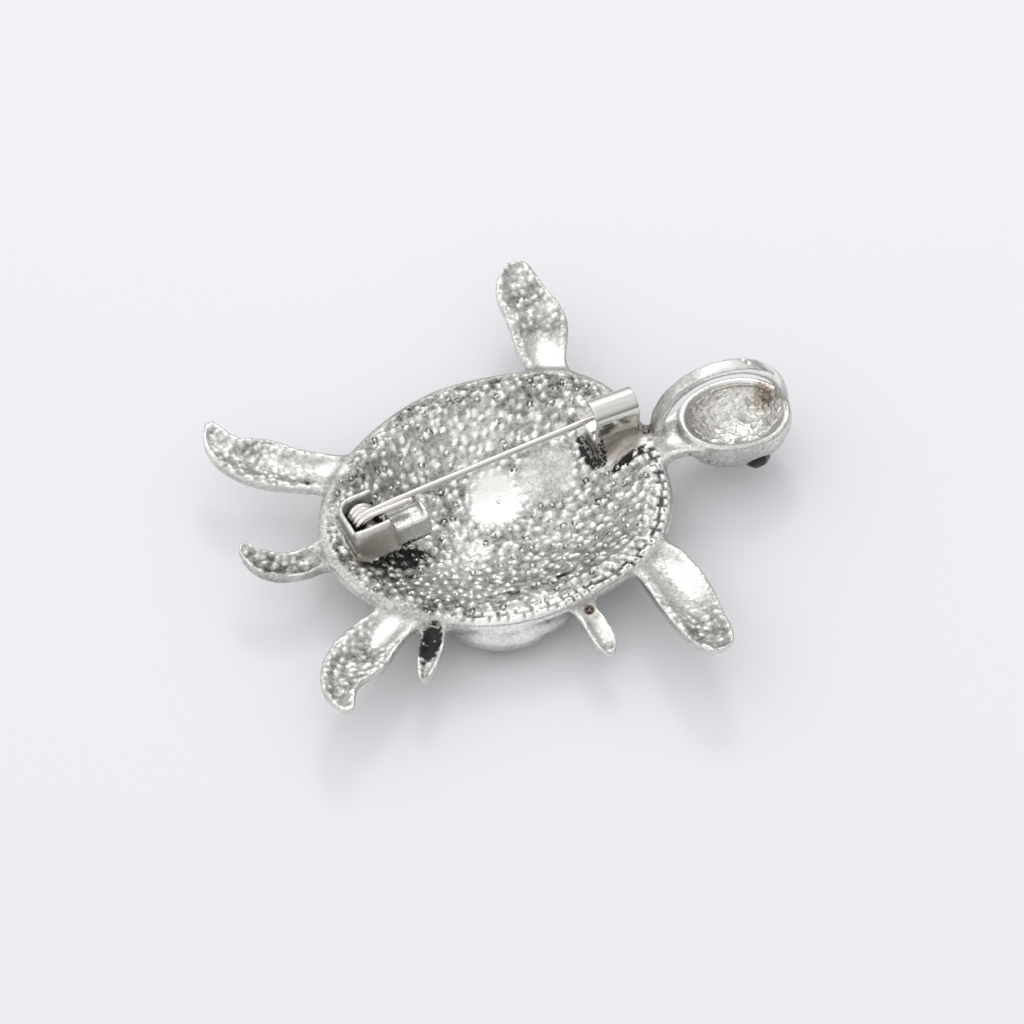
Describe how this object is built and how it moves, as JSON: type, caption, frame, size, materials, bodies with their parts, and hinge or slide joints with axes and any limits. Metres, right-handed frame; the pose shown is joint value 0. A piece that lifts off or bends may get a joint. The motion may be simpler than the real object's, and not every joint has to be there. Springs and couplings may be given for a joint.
{
  "type": "turtle brooch",
  "caption": "Turtle-shaped brooch seen from its hollow back, with a sprung pin, rolled catch and a bail over the head.",
  "frame": {"origin": "bottom centre of the whole brooch's box, on the face that it lies on", "axes": "+X along the midline to the head, +Y to the side opposite the hatchling, +Z out of the open back"},
  "size_m": [0.0584, 0.054, 0.0144],
  "materials": {
    "casting_metal": "silver plating on cast white metal, darkened in the hollows and rubbed bright",
    "pin_steel": "drawn and polished wire",
    "black_glass": "cut and polished, opaque"
  },
  "bodies": {
    "casting": {"turtle_casting": "casting_metal", "hinge_rivet": "pin_steel", "eye_stone_near": "black_glass", "eye_stone_far": "black_glass"},
    "pin": {"pin_wire": "pin_steel"}
  },
  "joints": [
    {"name": "pin_hinge", "type": "hinge", "parent": "casting", "child": "pin", "pos_m": [-0.01616, 0.002, 0.0063], "axis": [0.0834, -0.953, 0.2914], "range_deg": [0, 95]}
  ]
}
